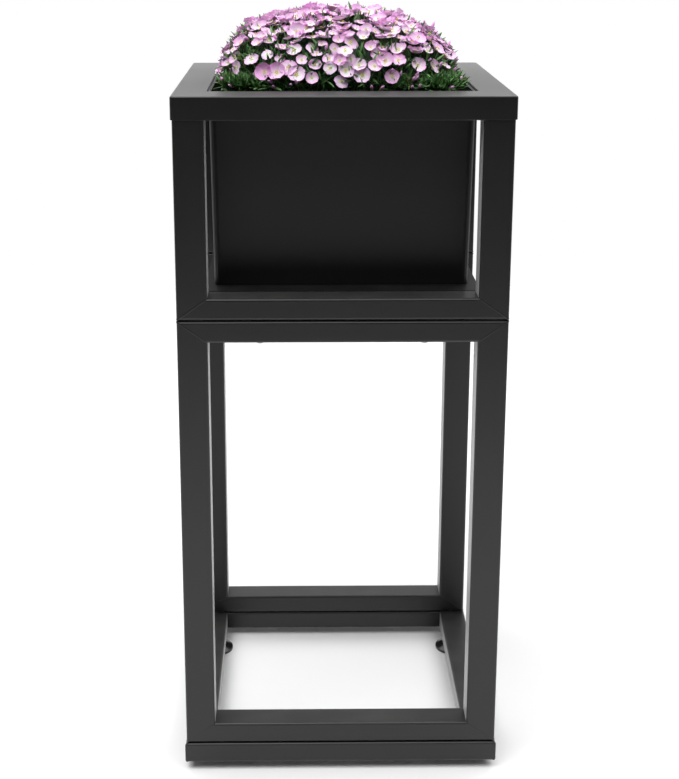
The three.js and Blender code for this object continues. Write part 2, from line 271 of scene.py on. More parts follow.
def petal_group():
    """Petal colour from the throat out, with veins and a tint of its own for each flower."""
    tree, enter, leave = group(
        "petal",
        {
            "Pale": ("Color", (1, 1, 1, 1)),
            "Deep": ("Color", (1, 0, 1, 1)),
            "Vein": ("Color", (0.5, 0, 0.5, 1)),
            "Throat": ("Color", (1, 1, 0, 1)),
        },
        {"Color": "Color", "Rough": "Float"},
    )
    reach = node(tree, "Attribute", attribute_name="reach").outputs["Fac"]
    across = node(tree, "Attribute", attribute_name="across").outputs["Fac"]
    tint = node(tree, "Attribute", attribute_name="tint").outputs["Fac"]
    body = blend_colour(tree, tint, enter.outputs["Pale"], enter.outputs["Deep"])
    # The outer third of a petal is deeper than its middle.
    rim = node(tree, "MapRange", {"Value": reach, "From Min": 0.55, "From Max": 1.05}).outputs[0]
    body = blend_colour(tree, maths(tree, "MULTIPLY", rim, 0.3), body, enter.outputs["Deep"])
    # Veins fan out across the petal and fade towards its edge.
    fan = maths(tree, "SINE", maths(tree, "MULTIPLY", across, 17.0))
    fan = maths(tree, "POWER", maths(tree, "ABSOLUTE", fan), 6.0)
    fade = node(
        tree, "MapRange", {"Value": reach, "From Min": 0.95, "From Max": 0.25}
    ).outputs[0]
    veins = maths(tree, "MULTIPLY", maths(tree, "MULTIPLY", fan, fade), 0.35)
    body = blend_colour(tree, veins, body, enter.outputs["Vein"])
    white = node(
        tree, "MapRange", {"Value": reach, "From Min": 0.8, "From Max": 0.25}
    ).outputs[0]
    pale = maths(tree, "SUBTRACT", 1.0, maths(tree, "MULTIPLY", tint, 0.75))
    body = blend_colour(tree, maths(tree, "MULTIPLY", white, pale), body, (0.95, 0.93, 0.92, 1))
    green = node(
        tree, "MapRange", {"Value": reach, "From Min": 0.26, "From Max": 0.1}
    ).outputs[0]
    body = blend_colour(tree, green, body, enter.outputs["Throat"])
    tree.links.new(body, leave.inputs["Color"])
    rough = maths(tree, "ADD", maths(tree, "MULTIPLY", fan, 0.12), 0.5)
    tree.links.new(rough, leave.inputs["Rough"])
    return tree


def leaf_group():
    """Leaf colour: dark to light by each leaf's tint, which also carries painted shade for leaves rooted deep
    in the plants; paler along the midrib and at the tip.
    """
    tree, enter, leave = group(
        "leaf",
        {"Dark": ("Color", (0, 0.1, 0, 1)), "Light": ("Color", (0.2, 0.4, 0, 1))},
        {"Color": "Color", "Rough": "Float"},
    )
    reach = node(tree, "Attribute", attribute_name="reach").outputs["Fac"]
    across = node(tree, "Attribute", attribute_name="across").outputs["Fac"]
    tint = node(tree, "Attribute", attribute_name="tint").outputs["Fac"]
    place = node(tree, "TexCoord").outputs["Object"]
    mottle = node(tree, "TexNoise", {"Vector": place, "Scale": 260.0, "Detail": 3.0}).outputs["Fac"]
    tone = maths(tree, "ADD", tint, maths(tree, "MULTIPLY", maths(tree, "SUBTRACT", mottle, 0.5), 0.5))
    tone = maths(tree, "ADD", tone, maths(tree, "MULTIPLY", reach, 0.12), clamp=True)
    body = blend_colour(tree, tone, enter.outputs["Dark"], enter.outputs["Light"])
    rib = node(
        tree, "MapRange", {"Value": maths(tree, "ABSOLUTE", across), "From Min": 0.22, "From Max": 0.02}
    ).outputs[0]
    body = blend_colour(tree, maths(tree, "MULTIPLY", rib, 0.4), body, enter.outputs["Light"])
    tree.links.new(body, leave.inputs["Color"])
    tree.links.new(maths(tree, "ADD", maths(tree, "MULTIPLY", mottle, 0.25), 0.32), leave.inputs["Rough"])
    return tree


def shader(name):
    """A new material, its tree and its Principled shader."""
    if name in bpy.data.materials:
        raise RuntimeError(f"a material named {name} is already here")
    made = bpy.data.materials.new(name)
    made.use_nodes = True
    return made, made.node_tree, made.node_tree.nodes["Principled BSDF"]


def placed(tree, name, **inputs):
    made = tree.nodes.new("ShaderNodeGroup")
    made.node_tree = bpy.data.node_groups[name]
    for label, value in inputs.items():
        made.inputs[label.replace("_", " ")].default_value = value
    return made


def coated_metal(name, base, roughness, peel_scale, dust_amount, specular, sheen):
    """Powder-coated sheet or tube: orange peel, cloudy satin and a trace of dust."""
    made, tree, bsdf = shader(name)
    texture = placed(tree, "coat_texture", Peel_Scale=peel_scale)
    dust = placed(tree, "dust", Amount=dust_amount)
    light = tuple(min(1.0, c * 1.5) for c in base)
    body = blend_colour(tree, texture.outputs["Tone"], rgba(tuple(c * 0.62 for c in base)), rgba(light))
    body = blend_colour(tree, dust.outputs["Mask"], body, (0.3, 0.28, 0.26, 1))
    tree.links.new(body, bsdf.inputs["Base Color"])
    low = roughness - 0.07
    satin = maths(tree, "ADD", maths(tree, "MULTIPLY", texture.outputs["Tone"], 0.14), low)
    satin = maths(tree, "ADD", satin, maths(tree, "MULTIPLY", dust.outputs["Mask"], 0.3))
    tree.links.new(satin, bsdf.inputs["Roughness"])
    bump = node(tree, "Bump", {"Height": texture.outputs["Height"], "Distance": 0.0003, "Strength": 0.35})
    tree.links.new(bump.outputs["Normal"], bsdf.inputs["Normal"])
    bsdf.inputs["Specular IOR Level"].default_value = specular
    bsdf.inputs["Sheen Weight"].default_value = sheen
    bsdf.inputs["Sheen Roughness"].default_value = 0.3
    return made


def zinc_steel(base):
    """Zinc plating: spangled tone over turned metal."""
    made, tree, bsdf = shader("bright_zinc")
    place = node(tree, "TexCoord").outputs["Object"]
    spangle = node(tree, "TexVoronoi", {"Vector": place, "Scale": 900.0})
    dark = tuple(c * 0.6 for c in base)
    body = blend_colour(tree, spangle.outputs["Distance"], rgba(dark), rgba(base))
    tree.links.new(body, bsdf.inputs["Base Color"])
    rough = maths(tree, "ADD", maths(tree, "MULTIPLY", spangle.outputs["Distance"], 0.25), 0.25)
    tree.links.new(rough, bsdf.inputs["Roughness"])
    bsdf.inputs["Metallic"].default_value = 1.0
    return made


def foot_plastic(base):
    """Moulded glossy plastic with a faint flow mottle."""
    made, tree, bsdf = shader("moulded_plastic")
    texture = placed(tree, "coat_texture", Peel_Scale=400.0, Cloud_Scale=60.0)
    light = tuple(c * 1.8 for c in base)
    body = blend_colour(tree, texture.outputs["Tone"], rgba(base), rgba(light))
    tree.links.new(body, bsdf.inputs["Base Color"])
    gloss = maths(tree, "ADD", maths(tree, "MULTIPLY", texture.outputs["Tone"], 0.12), 0.14)
    tree.links.new(gloss, bsdf.inputs["Roughness"])
    bump = node(tree, "Bump", {"Height": texture.outputs["Height"], "Distance": 0.0002, "Strength": 0.2})
    tree.links.new(bump.outputs["Normal"], bsdf.inputs["Normal"])
    return made


def soil_material(base):
    """Moist potting soil: crumbs of several browns."""
    made, tree, bsdf = shader("potting_soil")
    place = node(tree, "TexCoord").outputs["Object"]
    fine = node(tree, "TexNoise", {"Vector": place, "Scale": 420.0, "Detail": 8.0}).outputs["Fac"]
    crumbs = node(tree, "TexVoronoi", {"Vector": place, "Scale": 240.0}).outputs["Distance"]
    body = blend_colour(tree, fine, rgba(tuple(c * 0.35 for c in base)), rgba(tuple(c * 2.1 for c in base)))
    tree.links.new(body, bsdf.inputs["Base Color"])
    rough = maths(tree, "ADD", maths(tree, "MULTIPLY", fine, 0.4), 0.6, clamp=True)
    tree.links.new(rough, bsdf.inputs["Roughness"])
    height = maths(tree, "ADD", fine, crumbs)
    bump = node(tree, "Bump", {"Height": height, "Distance": 0.002, "Strength": 0.8})
    tree.links.new(bump.outputs["Normal"], bsdf.inputs["Normal"])
    return made


def grain_material(name, base, scale=500.0, roughness=0.8):
    """A small mineral or plant grain: mottled colour and fine bump."""
    made, tree, bsdf = shader(name)
    place = node(tree, "TexCoord").outputs["Object"]
    fine = node(tree, "TexNoise", {"Vector": place, "Scale": scale, "Detail": 4.0}).outputs["Fac"]
    darker = tuple(c * 0.7 for c in base)
    lighter = tuple(min(1, c * 1.25) for c in base)
    body = blend_colour(tree, fine, rgba(darker), rgba(lighter))
    tree.links.new(body, bsdf.inputs["Base Color"])
    rough = maths(tree, "ADD", maths(tree, "MULTIPLY", fine, 0.2), roughness - 0.1)
    tree.links.new(rough, bsdf.inputs["Roughness"])
    bump = node(tree, "Bump", {"Height": fine, "Distance": 0.0006, "Strength": 0.5})
    tree.links.new(bump.outputs["Normal"], bsdf.inputs["Normal"])
    return made


def petal_material(finishes):
    made, tree, bsdf = shader("petals")
    petal = placed(
        tree,
        "petal",
        Pale=rgba(finishes.petal_pale),
        Deep=rgba(finishes.petal_deep),
        Vein=rgba(finishes.petal_vein),
        Throat=rgba(finishes.throat),
    )
    tree.links.new(petal.outputs["Color"], bsdf.inputs["Base Color"])
    tree.links.new(petal.outputs["Rough"], bsdf.inputs["Roughness"])
    bsdf.inputs["Specular IOR Level"].default_value = 0.25
    bsdf.inputs["Subsurface Weight"].default_value = 0.3
    bsdf.inputs["Subsurface Radius"].default_value = (1.0, 0.6, 0.8)
    bsdf.inputs["Subsurface Scale"].default_value = 0.002
    return made


def leaf_material(name, dark, light):
    made, tree, bsdf = shader(name)
    leaf = placed(tree, "leaf", Dark=rgba(dark), Light=rgba(light))
    tree.links.new(leaf.outputs["Color"], bsdf.inputs["Base Color"])
    tree.links.new(leaf.outputs["Rough"], bsdf.inputs["Roughness"])
    return made


def finish(name):
    return bpy.data.materials[name]


# ---------------------------------------------------------------- mesh helpers


class Heap:
    """Points and faces of one piece, with a few numbers kept at each point."""

    def __init__(self, *channels):
        self.points = []
        self.faces = []
        self.channels = {name: [] for name in channels}

    def add(self, points, faces, **values):
        start = len(self.points)
        self.points.extend(points)
        self.faces.extend(tuple(start + i for i in face) for face in faces)
        for name, column in self.channels.items():
            value = values[name]
            column.extend(value if isinstance(value, list) else [value] * len(points))

    def make(self, name, material, body, smooth=True):
        mesh = bpy.data.meshes.new(name)
        mesh.from_pydata([tuple(p) for p in self.points], [], self.faces)
        mesh.materials.append(finish(material))
        for channel, column in self.channels.items():
            kept = mesh.attributes.new(channel, "FLOAT", "POINT")
            kept.data.foreach_set("value", column)
        mesh.polygons.foreach_set("use_smooth", [smooth] * len(mesh.polygons))
        mesh.update()
        piece = bpy.data.objects.new(name, mesh)
        bpy.context.scene.collection.objects.link(piece)
        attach(piece, body)
        return piece


def strip_faces(rows, columns, closed=False):
    """Quads of a grid whose points run along its columns first; closed joins its last column to its first."""
    faces = []
    for row in range(rows - 1):
        for column in range(columns if closed else columns - 1):
            side = (column + 1) % columns
            low = row * columns
            high = low + columns
            faces.append((low + column, low + side, high + side, high + column))
    return faces


def rounded_ring(half_x, half_y, radius, z, steps=6, centre=(0.0, 0.0)):
    """Points round a rectangle with rounded corners, at one height."""
    points = []
    for corner in range(4):
        sign_x = 1 if corner in (0, 3) else -1
        sign_y = 1 if corner < 2 else -1
        for step in range(steps + 1):
            turn = (corner + step / steps) * math.pi / 2
            x = centre[0] + sign_x * (half_x - radius) + radius * math.cos(turn)
            y = centre[1] + sign_y * (half_y - radius) + radius * math.sin(turn)
            points.append(Vector((x, y, z)))
    return points


def turned(heap, centre, profile, sides, flute=0.0, fluted=()):
    """Adds a body turned round a vertical axis; rows named in fluted get a wavy radius."""
    points = []
    for row, (radius, z) in enumerate(profile):
        for side in range(sides):
            turn = 2 * math.pi * side / sides
            wave = flute * (0.5 - 0.5 * math.cos(turn * sides / 4)) if row in fluted else 0.0
            reach = max(radius - wave, 0.00001)
            points.append(centre + Vector((reach * math.cos(turn), reach * math.sin(turn), z)))
    faces = strip_faces(len(profile), sides, closed=True)
    faces.append(tuple(range(sides - 1, -1, -1)))
    faces.append(tuple(range(len(points) - sides, len(points))))
    heap.add(points, faces)


def polish(piece, degrees=35):
    """Smooth shading that keeps the flat faces flat."""
    mesh = piece.data
    mesh.polygons.foreach_set("use_smooth", [True] * len(mesh.polygons))
    mesh.set_sharp_from_angle(angle=math.radians(degrees))
    weighted = piece.modifiers.new("flat faces", "WEIGHTED_NORMAL")
    weighted.keep_sharp = True


def coat_node(name, material):
    """Gives a CAD node its finish and its smooth shading."""
    piece = NODES[name]
    piece.data.materials.clear()
    piece.data.materials.append(finish(material))
    polish(piece)


# ---------------------------------------------------------------- operators


class PLANTER_OT_finishes(bpy.types.Operator):
    """Make the node groups and materials that the pieces share."""

    bl_idname = "planter.finishes"
    bl_label = "Finishes"

    def execute(self, context):
        colours = context.scene.planter_finishes
        coat_texture_group()
        dust_group()
        petal_group()
        leaf_group()
        coated_metal("charcoal_coat", tuple(colours.coat), colours.coat_roughness, 900.0, 0.05, 0.56, 0.6)
        coated_metal("black_coat", tuple(colours.liner), colours.liner_roughness, 650.0, 0.03, 0.4, 0.0)
        zinc_steel(tuple(colours.zinc))
        foot_plastic(tuple(colours.foot))
        soil_material(tuple(colours.soil))
        grain_material("perlite", tuple(colours.perlite))
        grain_material("anther", tuple(colours.anther), 1500.0)
        petal_material(colours)
        leaf_material("leaves", tuple(colours.leaf_dark), tuple(colours.leaf_light))
        leaf_material("stems", tuple(c * 0.5 for c in colours.stem), tuple(colours.stem))
        return {"FINISHED"}


class PLANTER_OT_tubes(bpy.types.Operator):
    """Coat the tubes of the base ring, the stand and the cage, and the bottom plate."""

    bl_idname = "planter.tubes"
    bl_label = "Tubes and bottom plate"

    def execute(self, context):
        for name in sorted(NODES):
            tube = name.startswith(("base_ring", "stand_", "cage_"))
            if tube and "screw" not in name and "insert" not in name:
                coat_node(name, "charcoal_coat")
        coat_node("bottom_plate", "black_coat")
        return {"FINISHED"}


def mitre_bead(heap, outer, inner, axis, depth, sizes):
    """A ground weld round a mitre from the outer corner to the inner one; axis runs across the tube."""
    run = inner - outer
    middle = (outer + inner) / 2
    along = run.normalized()
    normal_of_cut = along.cross(axis).normalized()
    stretch = run.length / 2
    corner = sizes.tube_corner
    ring = rounded_ring(stretch, depth / 2, corner, 0.0, steps=4)
    rows = ((-0.5, -0.3), (-0.3, 0.6), (0.0, 1.0), (0.3, 0.6), (0.5, -0.3))
    points = []
    for sideways, lift in rows:
        for index, spot in enumerate(ring):
            before = ring[index - 1]
            after = ring[(index + 1) % len(ring)]
            edge = after - before
            out = Vector((edge.y, -edge.x, 0)).normalized()
            place = spot + out * lift * sizes.seam_height
            points.append(
                middle
                + along * place.x
                + axis * place.y
                + normal_of_cut * sideways * sizes.seam_width
            )
    heap.add(points, strip_faces(len(rows), len(ring), closed=True))


class PLANTER_OT_seams(bpy.types.Operator):
    """Add the ground weld seams round every mitred corner of the frame."""

    bl_idname = "planter.seams"
    bl_label = "Weld seams"

    def execute(self, context):
        sizes = context.scene.planter_sizes
        heap = Heap()
        for loop in ("stand_front", "stand_back", "cage_front", "cage_back"):
            low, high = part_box(f"{loop}_post_left")
            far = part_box(f"{loop}_post_right")[1].x
            face = high.x - low.x
            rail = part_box(f"{loop}_bottom_rail")[1].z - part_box(f"{loop}_bottom_rail")[0].z
            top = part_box(f"{loop}_top_rail")[1].z
            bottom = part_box(f"{loop}_bottom_rail")[0].z
            y = (low.y + high.y) / 2
            for x, inward in ((low.x, 1), (far, -1)):
                for z, up in ((bottom, 1), (top, -1)):
                    outer = Vector((x, y, z))
                    inner = outer + Vector((inward * face, 0, up * rail))
                    mitre_bead(heap, outer, inner, Vector((0, 1, 0)), high.y - low.y, sizes)
        low = Vector((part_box("base_ring_left")[0].x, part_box("base_ring_front")[0].y, 0))
        high = Vector((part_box("base_ring_right")[1].x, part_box("base_ring_back")[1].y, 0))
        floor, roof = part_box("base_ring_left")[0].z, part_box("base_ring_left")[1].z
        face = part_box("base_ring_left")[1].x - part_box("base_ring_left")[0].x
        for x, in_x in ((low.x, 1), (high.x, -1)):
            for y, in_y in ((low.y, 1), (high.y, -1)):
                outer = Vector((x, y, (floor + roof) / 2))
                inner = outer + Vector((in_x * face, in_y * face, 0))
                mitre_bead(heap, outer, inner, UP, roof - floor, sizes)
        heap.make("weld_seams", "charcoal_coat", "frame")
        return {"FINISHED"}


class PLANTER_OT_cap(bpy.types.Operator):
    """Fold the cap: a flange with its opening and four skirts, with rounded bends."""

    bl_idname = "planter.cap"
    bl_label = "Cap"

    def execute(self, context):
        sizes = context.scene.planter_sizes
        low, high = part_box("cap")
        points = [v.co for v in NODES["cap"].data.vertices]
        mouth_x = min(abs(p.x) for p in points)
        mouth_y = min(abs(p.y) for p in points)
        sheet = high.z - max(p.z for p in points if p.z < high.z - 0.2 * MM)
        half_x, half_y = high.x, high.y
        bend, corner, lip = sizes.cap_bend, sizes.cap_corner, 0.25 * MM
        steps = 5
        rings = []

        def ring(x, y, radius, z):
            rings.append(rounded_ring(x, y, max(radius, 0.2 * MM), z))

        ring(half_x - sheet, half_y - sheet, corner - sheet, low.z + lip)
        ring(half_x - sheet + lip, half_y - sheet + lip, corner - sheet, low.z)
        ring(half_x - lip, half_y - lip, corner, low.z)
        ring(half_x, half_y, corner, low.z + lip)
        for step in range(steps + 1):
            turn = math.pi / 2 * step / steps
            inset = bend * (1 - math.cos(turn))
            z = high.z - bend * (1 - math.sin(turn))
            ring(half_x - inset, half_y - inset, corner, z)
        ring(mouth_x + 2 * lip, mouth_y + 2 * lip, 1.2 * MM, high.z)
        ring(mouth_x + lip * 0.4, mouth_y + lip * 0.4, 1.2 * MM, high.z - lip * 0.4)
        ring(mouth_x, mouth_y, 1.2 * MM, high.z - lip * 1.4)
        ring(mouth_x, mouth_y, 1.2 * MM, high.z - sheet)
        ring(half_x - sheet, half_y - sheet, corner - sheet, high.z - sheet)
        rings.append(rings[0])
        heap = Heap()
        for lower, upper in zip(rings, rings[1:]):
            heap.add(lower + upper, strip_faces(2, len(lower), closed=True))
        cap = heap.make("cap_sheet", "charcoal_coat", "frame")
        weld(cap)
        polish(cap, 50)
        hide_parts("cap")
        return {"FINISHED"}


def weld(piece):
    """Joins the points that lie on each other and turns the faces outward."""
    work = bmesh.new()
    work.from_mesh(piece.data)
    bmesh.ops.remove_doubles(work, verts=work.verts, dist=1e-6)
    bmesh.ops.recalc_face_normals(work, faces=work.faces)
    work.to_mesh(piece.data)
    work.free()


HANDS = ("front_left", "front_right", "back_left", "back_right")


class PLANTER_OT_feet(bpy.types.Operator):
    """Mould the four foot pads, with a grip of flutes round each rim."""

    bl_idname = "planter.feet"
    bl_label = "Foot pads"

    def execute(self, context):
        sizes = context.scene.planter_sizes
        for hand in HANDS:
            low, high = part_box(f"foot_pad_{hand}")
            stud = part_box(f"foot_stud_{hand}")
            centre = Vector(((low.x + high.x) / 2, (low.y + high.y) / 2, low.z))
            radius, tall = (high.x - low.x) / 2, high.z - low.z
            neck = (stud[1].x - stud[0].x) / 2 + 0.3 * MM
            profile = [
                (radius * 0.9, 0.0),
                (radius - 0.9 * MM, 0.0),
                (radius - 0.25 * MM, 0.25 * MM),
                (radius, 0.9 * MM),
                (radius, 2.3 * MM),
                (radius - 0.3 * MM, 2.9 * MM),
                (radius - 1.2 * MM, 3.4 * MM),
                (radius * 0.72, tall - 2.0 * MM),
                (radius * 0.56, tall - 1.1 * MM),
                (neck + 4.0 * MM, tall - 0.4 * MM),
                (neck + 2.6 * MM, tall),
                (neck + 0.3 * MM, tall),
                (neck, tall - 0.3 * MM),
                (neck, tall - 2.0 * MM),
            ]
            heap = Heap()
            turned(heap, centre, profile, 96, sizes.foot_flute, (3, 4))
            pad = heap.make(f"foot_pad_moulded_{hand}", "moulded_plastic", f"foot_{hand}")
            polish(pad, 40)
            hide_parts(f"foot_pad_{hand}")
        return {"FINISHED"}


class PLANTER_OT_fasteners(bpy.types.Operator):
    """Plate the screws, threaded inserts and foot studs."""

    bl_idname = "planter.fasteners"
    bl_label = "Fasteners"

    def execute(self, context):
        for name in sorted(NODES):
            if "screw" in name or "insert" in name or name.startswith("foot_stud"):
                coat_node(name, "bright_zinc")
        return {"FINISHED"}


class PLANTER_OT_liner(bpy.types.Operator):
    """Coat the sheet liner."""

    bl_idname = "planter.liner"
    bl_label = "Liner"

    def execute(self, context):
        coat_node("liner", "black_coat")
        return {"FINISHED"}


class PLANTER_OT_soil(bpy.types.Operator):
    """Fill the liner with a root ball whose top is crumbly soil with pale grains."""

    bl_idname = "planter.soil"
    bl_label = "Soil"

    def execute(self, context):
        low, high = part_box("root_ball")
        corners = [v.co for v in NODES["root_ball"].data.vertices]
        base = [p for p in corners if p.z < low.z + MM]
        base_x, base_y = max(p.x for p in base), max(p.y for p in base)
        levels = 8
        heap = Heap()
        rings = []
        for level in range(levels + 1):
            rise = level / levels
            half_x = base_x + (high.x - base_x) * rise
            half_y = base_y + (high.y - base_y) * rise
            rings.append(rounded_ring(half_x, half_y, 4 * MM, low.z + (high.z - low.z) * rise))
        inner = 10
        for step in range(1, inner):
            kept = 1 - step / inner
            rings.append([Vector((p.x * kept, p.y * kept, high.z)) for p in rings[levels]])
        width = len(rings[0])
        points = []
        for ring in rings:
            for p in ring:
                rough = noise.fractal(p * 90, 0.9, 2.1, 5)
                sink = Vector((p.x, p.y, 0)).normalized() * -0.5 * MM * abs(rough)
                drop = -1.8 * MM * abs(rough) if p.z > high.z - MM else 0.0
                points.append(p + sink + UP * drop)
        faces = strip_faces(len(rings), width, closed=True)
        faces.append(tuple(range(width - 1, -1, -1)))
        faces.append(tuple(range(len(points) - width, len(points))))
        heap.add(points, faces)
        ball = heap.make("soil_ball", "potting_soil", "planting")
        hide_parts("root_ball")
        self.crumbs("soil_crumbs", "potting_soil", 420, (0.9 * MM, 2.4 * MM), high, 11)
        self.crumbs("perlite_grains", "perlite", 60, (0.7 * MM, 1.5 * MM), high, 12)
        return {"FINISHED"}

    def crumbs(self, name, material, number, sizes, high, seed):
        draw = random.Random(seed)
        heap = Heap()
        for _ in range(number):
            radius = draw.uniform(*sizes)
            centre = Vector(
                (
                    draw.uniform(-1, 1) * (high.x - 4 * MM),
                    draw.uniform(-1, 1) * (high.y - 4 * MM),
                    high.z + radius * 0.2 - 1.0 * MM,
                )
            )
            lump(heap, centre, radius, draw)
        heap.make(name, material, "planting")


def lump(heap, centre, radius, draw, sides=7, rows=5):
    """A small uneven grain."""
    shift = Vector((draw.uniform(0, 50), draw.uniform(0, 50), draw.uniform(0, 50)))
    points = []
    for row in range(rows):
        polar = math.pi * (row + 0.5) / rows
        for side in range(sides):
            turn = 2 * math.pi * side / sides
            level = math.sin(polar)
            way = Vector((level * math.cos(turn), level * math.sin(turn), math.cos(polar)))
            points.append(centre + way * radius * (1 + 0.45 * noise.noise(way * 1.7 + shift)))
    faces = strip_faces(rows, sides, closed=True)
    faces.append(tuple(range(sides - 1, -1, -1)))
    faces.append(tuple(range(len(points) - sides, len(points))))
    heap.add(points, [face[::-1] for face in faces])


class Mound:
    """The shape of the cushion of plants, from its CAD solid and the liner's mouth."""

    def __init__(self):
        low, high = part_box("planting")
        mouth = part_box("liner")[1]
        self.rim = mouth.z
        self.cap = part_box("cap")[1].z
        self.half_x, self.half_y = high.x - 6 * MM, high.y - 7 * MM
        self.rise = high.z - self.rim - 5 * MM
        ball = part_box("root_ball")[1]
        self.soil = low.z
        self.inner_x, self.inner_y = ball.x + 0.5 * MM, ball.y + 0.5 * MM
        points = [v.co for v in NODES["cap"].data.vertices]
        self.mouth_x = min(abs(p.x) for p in points) - 0.8 * MM
        self.mouth_y = min(abs(p.y) for p in points) - 0.8 * MM

    def over(self, x, y, swell=1.0):
        """The point of the surface over a place in plan, its outward direction and its lift."""
        across, deep = x / self.half_x, y / self.half_y
        reach = min(0.999, (abs(across) ** 3 + abs(deep) ** 3) ** (1 / 3))
        lift = (1 - reach**2.1) ** (1 / 2.1)
        shoulder = 0.1 * math.exp(-(((x + 92 * MM) / (30 * MM)) ** 2)) * min(1.0, lift * 2.5)
        spot = Vector((x * swell, y * swell, self.rim + self.rise * (lift + shoulder) * swell))
        side = (reach / max(lift, 0.05)) ** 1.1
        pull = Vector((across * abs(across), deep * abs(deep), 0)) / max(reach, 0.05) ** 2
        out = Vector((pull.x * side * self.rise / self.half_x, pull.y * side * self.rise / self.half_y, 1))
        return spot, out.normalized(), lift

    def scatter(self, draw):
        """A random point of the surface, evenly spread over its area."""
        while True:
            spot, out, lift = self.over(
                draw.uniform(-1, 1) * self.half_x, draw.uniform(-1, 1) * self.half_y
            )
            if 0.03 < lift and draw.random() < min(1.0, 1 / out.z / 5):
                return spot, out, lift

    def hold(self, p, slack=0.0):
        """Keeps a point inside the liner where it is low, and inside the cap's mouth until it clears it."""
        if p.z < self.rim + 0.6 * MM:
            limit_x, limit_y = self.inner_x, self.inner_y
        else:
            spread = max(0.0, p.z - self.cap - 1.0 * MM)
            limit_x, limit_y = self.mouth_x + spread, self.mouth_y + spread
        p.z = max(p.z, self.soil + 0.4 * MM)
        p.x = max(-limit_x, min(limit_x, p.x))
        p.y = max(-limit_y, min(limit_y, p.y))
        return p


def even_ring(outline, total):
    """Points evenly spaced along a closed outline."""
    around = len(outline)
    spans = [(outline[(i + 1) % around] - outline[i]).length for i in range(around)]
    step = sum(spans) / total
    points, index, start = [], 0, 0.0
    for mark in range(total):
        target = mark * step
        while index < around - 1 and start + spans[index] < target:
            start += spans[index]
            index += 1
        along = min(1.0, (target - start) / max(spans[index], 1e-9))
        points.append(outline[index].lerp(outline[(index + 1) % around], along))
    return points


def bloom_places(mound, sizes):
    """Where the open flowers sit: the head, the way it faces, its radius and its tint."""
    draw = random.Random(5)
    places, grounds = [], []
    for _ in range(sizes.blooms * 60):
        if len(places) >= sizes.blooms:
            break
        spot, out, lift = mound.scatter(draw)
        leafy = 0.12 + 0.22 * max(0.0, spot.x / mound.half_x)
        gap = sizes.bloom_gap * (1.45 - 0.65 * min(1.0, lift * 1.25)) * draw.uniform(0.8, 1.2)
        if lift < leafy or any((spot - other).length < gap for other in grounds):
            continue
        grounds.append(spot)
        way = facing(out, draw, 0.1 + 0.25 * lift, 0.25)
        radius = sizes.bloom_radius * draw.uniform(0.74, 1.3)
        tint = max(0.0, min(1.0, draw.gauss(0.4, 0.22)))
        places.append((spot + out * draw.uniform(-1.5, 3.0) * MM, way, radius, tint))
    return places


def facing(out, draw, upward, spread):
    """A direction between outward and up, tilted at random."""
    way = (out * (1 - upward) + UP * upward).normalized()
    tilt = Vector((draw.gauss(0, spread), draw.gauss(0, spread), draw.gauss(0, spread)))
    return (way + tilt).normalized()


def local_frame(way, spin):
    """A rotation that takes +Z to a direction, spun about it."""
    return way.to_track_quat("Z", "Y") @ Quaternion((0, 0, 1), spin)


def grow_leaf(heap, mound, root, way, size, width, light, draw):
    """A narrow leaf: folded along its midrib, arched, and pointed at both ends."""
    turn = local_frame(way, draw.uniform(0, 2 * math.pi))
    arch = draw.uniform(0.1, 0.55) * size
    rows = ((0.0, 0.12), (0.25, 0.72), (0.55, 1.0), (0.82, 0.62), (1.0, 0.03))
    points, reach, across = [], [], []
    for along, wide in rows:
        for side in (-1, 0, 1):
            fold = 0.32 * width * wide * abs(side)
            local = Vector((side * wide * width / 2, arch * along * along + fold, size * along))
            points.append(mound.hold(root + turn @ local))
            reach.append(along)
            across.append(float(side))
    heap.add(points, strip_faces(len(rows), 3), reach=reach, across=across, tint=light)


